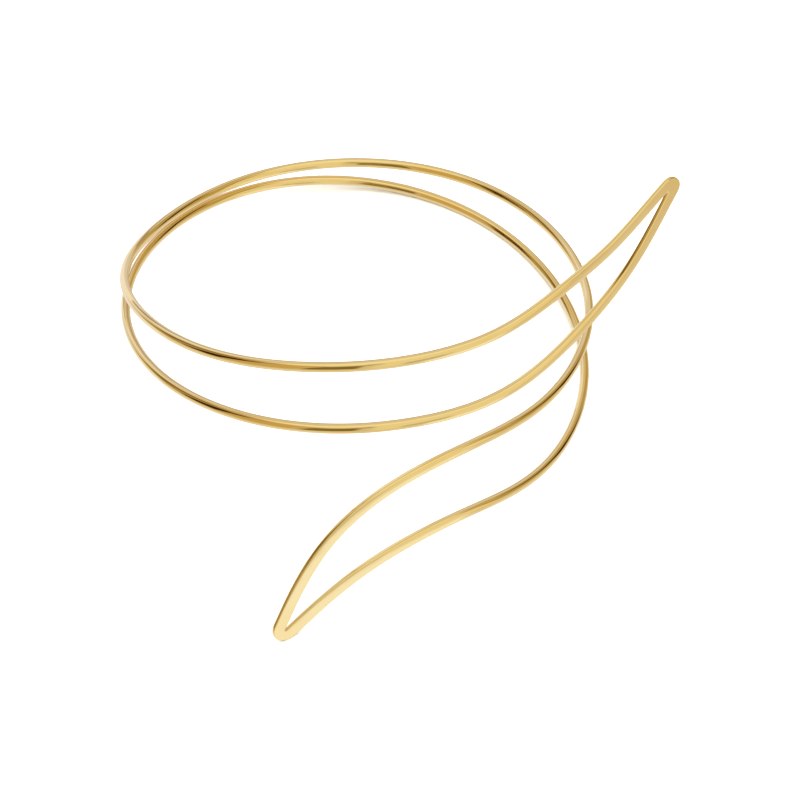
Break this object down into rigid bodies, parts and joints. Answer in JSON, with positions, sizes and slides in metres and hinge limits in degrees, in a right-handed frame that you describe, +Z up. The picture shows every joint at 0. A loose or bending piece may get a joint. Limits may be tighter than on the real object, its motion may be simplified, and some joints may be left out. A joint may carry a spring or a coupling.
{
  "type": "upper arm cuff",
  "caption": "Springy upper arm cuff: a closed loop of gold-tone wire bent round the arm, opening into leaf shapes that pass each other at the front.",
  "frame": {"origin": "on the table, under the middle of the cuff's footprint as it lies by itself", "axes": "+Z up from the table, +Y towards the closed back of the cuff, -Y towards the front where the leaves pass each other, +X towards the rising leaf's end"},
  "size_m": [0.0912, 0.0876, 0.0542],
  "materials": {
    "gold": "polished"
  },
  "bodies": {
    "root": {"cuff_wire": "gold"}
  },
  "joints": []
}
